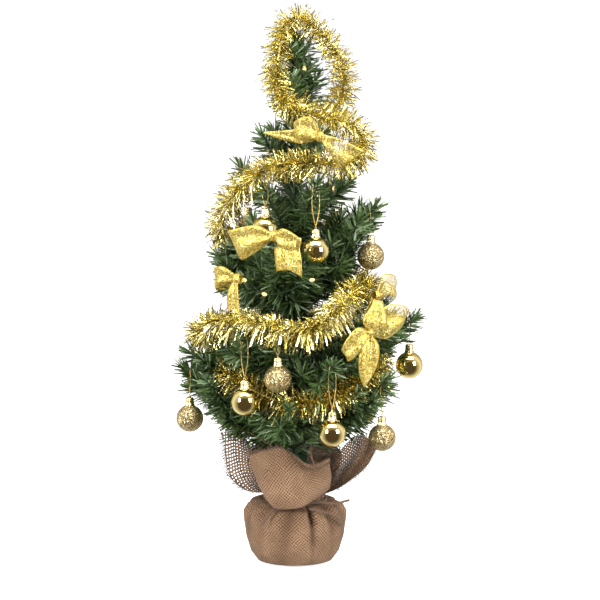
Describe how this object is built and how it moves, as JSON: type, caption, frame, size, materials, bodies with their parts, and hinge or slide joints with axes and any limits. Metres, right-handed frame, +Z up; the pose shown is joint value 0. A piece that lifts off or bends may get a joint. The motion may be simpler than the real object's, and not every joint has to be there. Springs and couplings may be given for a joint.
{
  "type": "artificial tabletop tree",
  "caption": "Small artificial conifer in a tied burlap sack, with a tinsel garland, ribbon bows, hanging baubles and a battery light string.",
  "frame": {"origin": "centre of the sack's flat underside, where the tree stands", "axes": "+Z up along the pole, -Y towards the front, +X to the right seen from the front"},
  "size_m": [0.2634, 0.2286, 0.5926],
  "materials": {
    "plaster": "matte",
    "burlap": "matte",
    "jute": "matte",
    "pole": "satin",
    "foliage": "satin",
    "gold_ball": "polished",
    "glitter_ball": "satin",
    "cap_and_thread": "gloss",
    "tinsel": "gloss",
    "string_wire": "gloss",
    "ribbon": "satin",
    "battery_case": "satin",
    "cell": "satin"
  },
  "bodies": {
    "tree": {"base_weight": "plaster", "battery_box": "battery_case", "battery_cell_1": "cell", "battery_cell_2": "cell", "bow_left": "ribbon", "bow_left_small": "ribbon", "bow_right": "ribbon", "bow_right_small": "ribbon", "bow_top": "ribbon", "branch_high_back": "foliage", "branch_high_front": "foliage", "branch_high_left": "foliage", "branch_high_right": "foliage", "branch_low_back_left": "foliage", "branch_low_back_right": "foliage", "branch_low_front": "foliage", "branch_low_left": "foliage", "branch_low_right": "foliage", "branch_middle_back_left": "foliage", "branch_middle_back_right": "foliage", "branch_middle_front": "foliage", "branch_middle_front_left": "foliage", "branch_middle_left": "foliage", "branch_middle_right": "foliage", "burlap_wrap": "burlap", "jute_tie": "jute", "light_string": "string_wire", "tinsel_garland": "tinsel", "tree_top": "foliage", "trunk_pole": "pole"},
    "bauble_01": {"bauble_01": "gold_ball", "bauble_01_hanger": "cap_and_thread"},
    "bauble_02": {"bauble_02": "glitter_ball", "bauble_02_hanger": "cap_and_thread"},
    "bauble_03": {"bauble_03": "gold_ball", "bauble_03_hanger": "cap_and_thread"},
    "bauble_04": {"bauble_04": "glitter_ball", "bauble_04_hanger": "cap_and_thread"},
    "bauble_05": {"bauble_05": "gold_ball", "bauble_05_hanger": "cap_and_thread"},
    "bauble_06": {"bauble_06": "glitter_ball", "bauble_06_hanger": "cap_and_thread"},
    "bauble_07": {"bauble_07": "gold_ball", "bauble_07_hanger": "cap_and_thread"},
    "bauble_08": {"bauble_08": "gold_ball", "bauble_08_hanger": "cap_and_thread"},
    "bauble_09": {"bauble_09": "glitter_ball", "bauble_09_hanger": "cap_and_thread"},
    "bauble_10": {"bauble_10": "gold_ball", "bauble_10_hanger": "cap_and_thread"},
    "bauble_11": {"bauble_11": "glitter_ball", "bauble_11_hanger": "cap_and_thread"},
    "bauble_12": {"bauble_12": "gold_ball", "bauble_12_hanger": "cap_and_thread"},
    "bauble_13": {"bauble_13": "glitter_ball", "bauble_13_hanger": "cap_and_thread"},
    "bauble_14": {"bauble_14": "gold_ball", "bauble_14_hanger": "cap_and_thread"},
    "battery_cover": {"battery_cover": "battery_case"},
    "battery_switch": {"battery_switch": "battery_case"}
  },
  "joints": [
    {"name": "bauble_01_swing", "type": "hinge", "parent": "tree", "child": "bauble_01", "pos_m": [0.02189, -0.06015, 0.40789], "axis": [0.342, -0.9397, 0], "range_deg": [-15, 15]},
    {"name": "bauble_02_swing", "type": "hinge", "parent": "tree", "child": "bauble_02", "pos_m": [0.08089, -0.01426, 0.37675], "axis": [0.9848, -0.1736, 0], "range_deg": [-6, 8]},
    {"name": "bauble_03_swing", "type": "hinge", "parent": "tree", "child": "bauble_03", "pos_m": [-0.03106, -0.05381, 0.40375], "axis": [-0.5, -0.866, 0], "range_deg": [-15, 15]},
    {"name": "bauble_04_swing", "type": "hinge", "parent": "tree", "child": "bauble_04", "pos_m": [-0.0177, -0.09441, 0.24432], "axis": [0.2915, -0.9566, 0], "range_deg": [-15, 12]},
    {"name": "bauble_05_swing", "type": "hinge", "parent": "tree", "child": "bauble_05", "pos_m": [-0.05241, -0.09077, 0.25197], "axis": [-0.5, -0.866, 0], "range_deg": [-15, 15]},
    {"name": "bauble_06_swing", "type": "hinge", "parent": "tree", "child": "bauble_06", "pos_m": [-0.11221, -0.02591, 0.20817], "axis": [-0.9744, -0.225, 0], "range_deg": [-15, 15]},
    {"name": "bauble_07_swing", "type": "hinge", "parent": "tree", "child": "bauble_07", "pos_m": [0.12238, -0.01286, 0.26179], "axis": [0.9945, -0.1045, 0], "range_deg": [-15, 15]},
    {"name": "bauble_08_swing", "type": "hinge", "parent": "tree", "child": "bauble_08", "pos_m": [0.0389, -0.09629, 0.22157], "axis": [0.3746, -0.9272, 0], "range_deg": [-15, 15]},
    {"name": "bauble_09_swing", "type": "hinge", "parent": "tree", "child": "bauble_09", "pos_m": [0.09233, -0.05331, 0.19909], "axis": [0.866, -0.5, 0], "range_deg": [-15, 15]},
    {"name": "bauble_10_swing", "type": "hinge", "parent": "tree", "child": "bauble_10", "pos_m": [0.07396, 0.07142, 0.20349], "axis": [0.7193, 0.6947, 0], "range_deg": [-15, 15]},
    {"name": "bauble_11_swing", "type": "hinge", "parent": "tree", "child": "bauble_11", "pos_m": [-0.07259, 0.0701, 0.20554], "axis": [-0.7193, 0.6947, 0], "range_deg": [-15, 15]},
    {"name": "bauble_12_swing", "type": "hinge", "parent": "tree", "child": "bauble_12", "pos_m": [-0.01723, 0.09301, 0.23513], "axis": [0.1288, 0.9917, 0], "range_deg": [-15, 15]},
    {"name": "bauble_13_swing", "type": "hinge", "parent": "tree", "child": "bauble_13", "pos_m": [-0.05055, 0.02918, 0.40395], "axis": [-0.866, 0.5, 0], "range_deg": [-15, 15]},
    {"name": "bauble_14_swing", "type": "hinge", "parent": "tree", "child": "bauble_14", "pos_m": [0.04327, 0.03631, 0.40499], "axis": [0.766, 0.6428, 0], "range_deg": [-15, 15]},
    {"name": "battery_cover_slide", "type": "slide", "parent": "tree", "child": "battery_cover", "axis": [0, 0, 1], "range_m": [0, 0.048]},
    {"name": "battery_switch_slide", "type": "slide", "parent": "tree", "child": "battery_switch", "axis": [0, 0, 1], "range_m": [0, 0.003]}
  ]
}
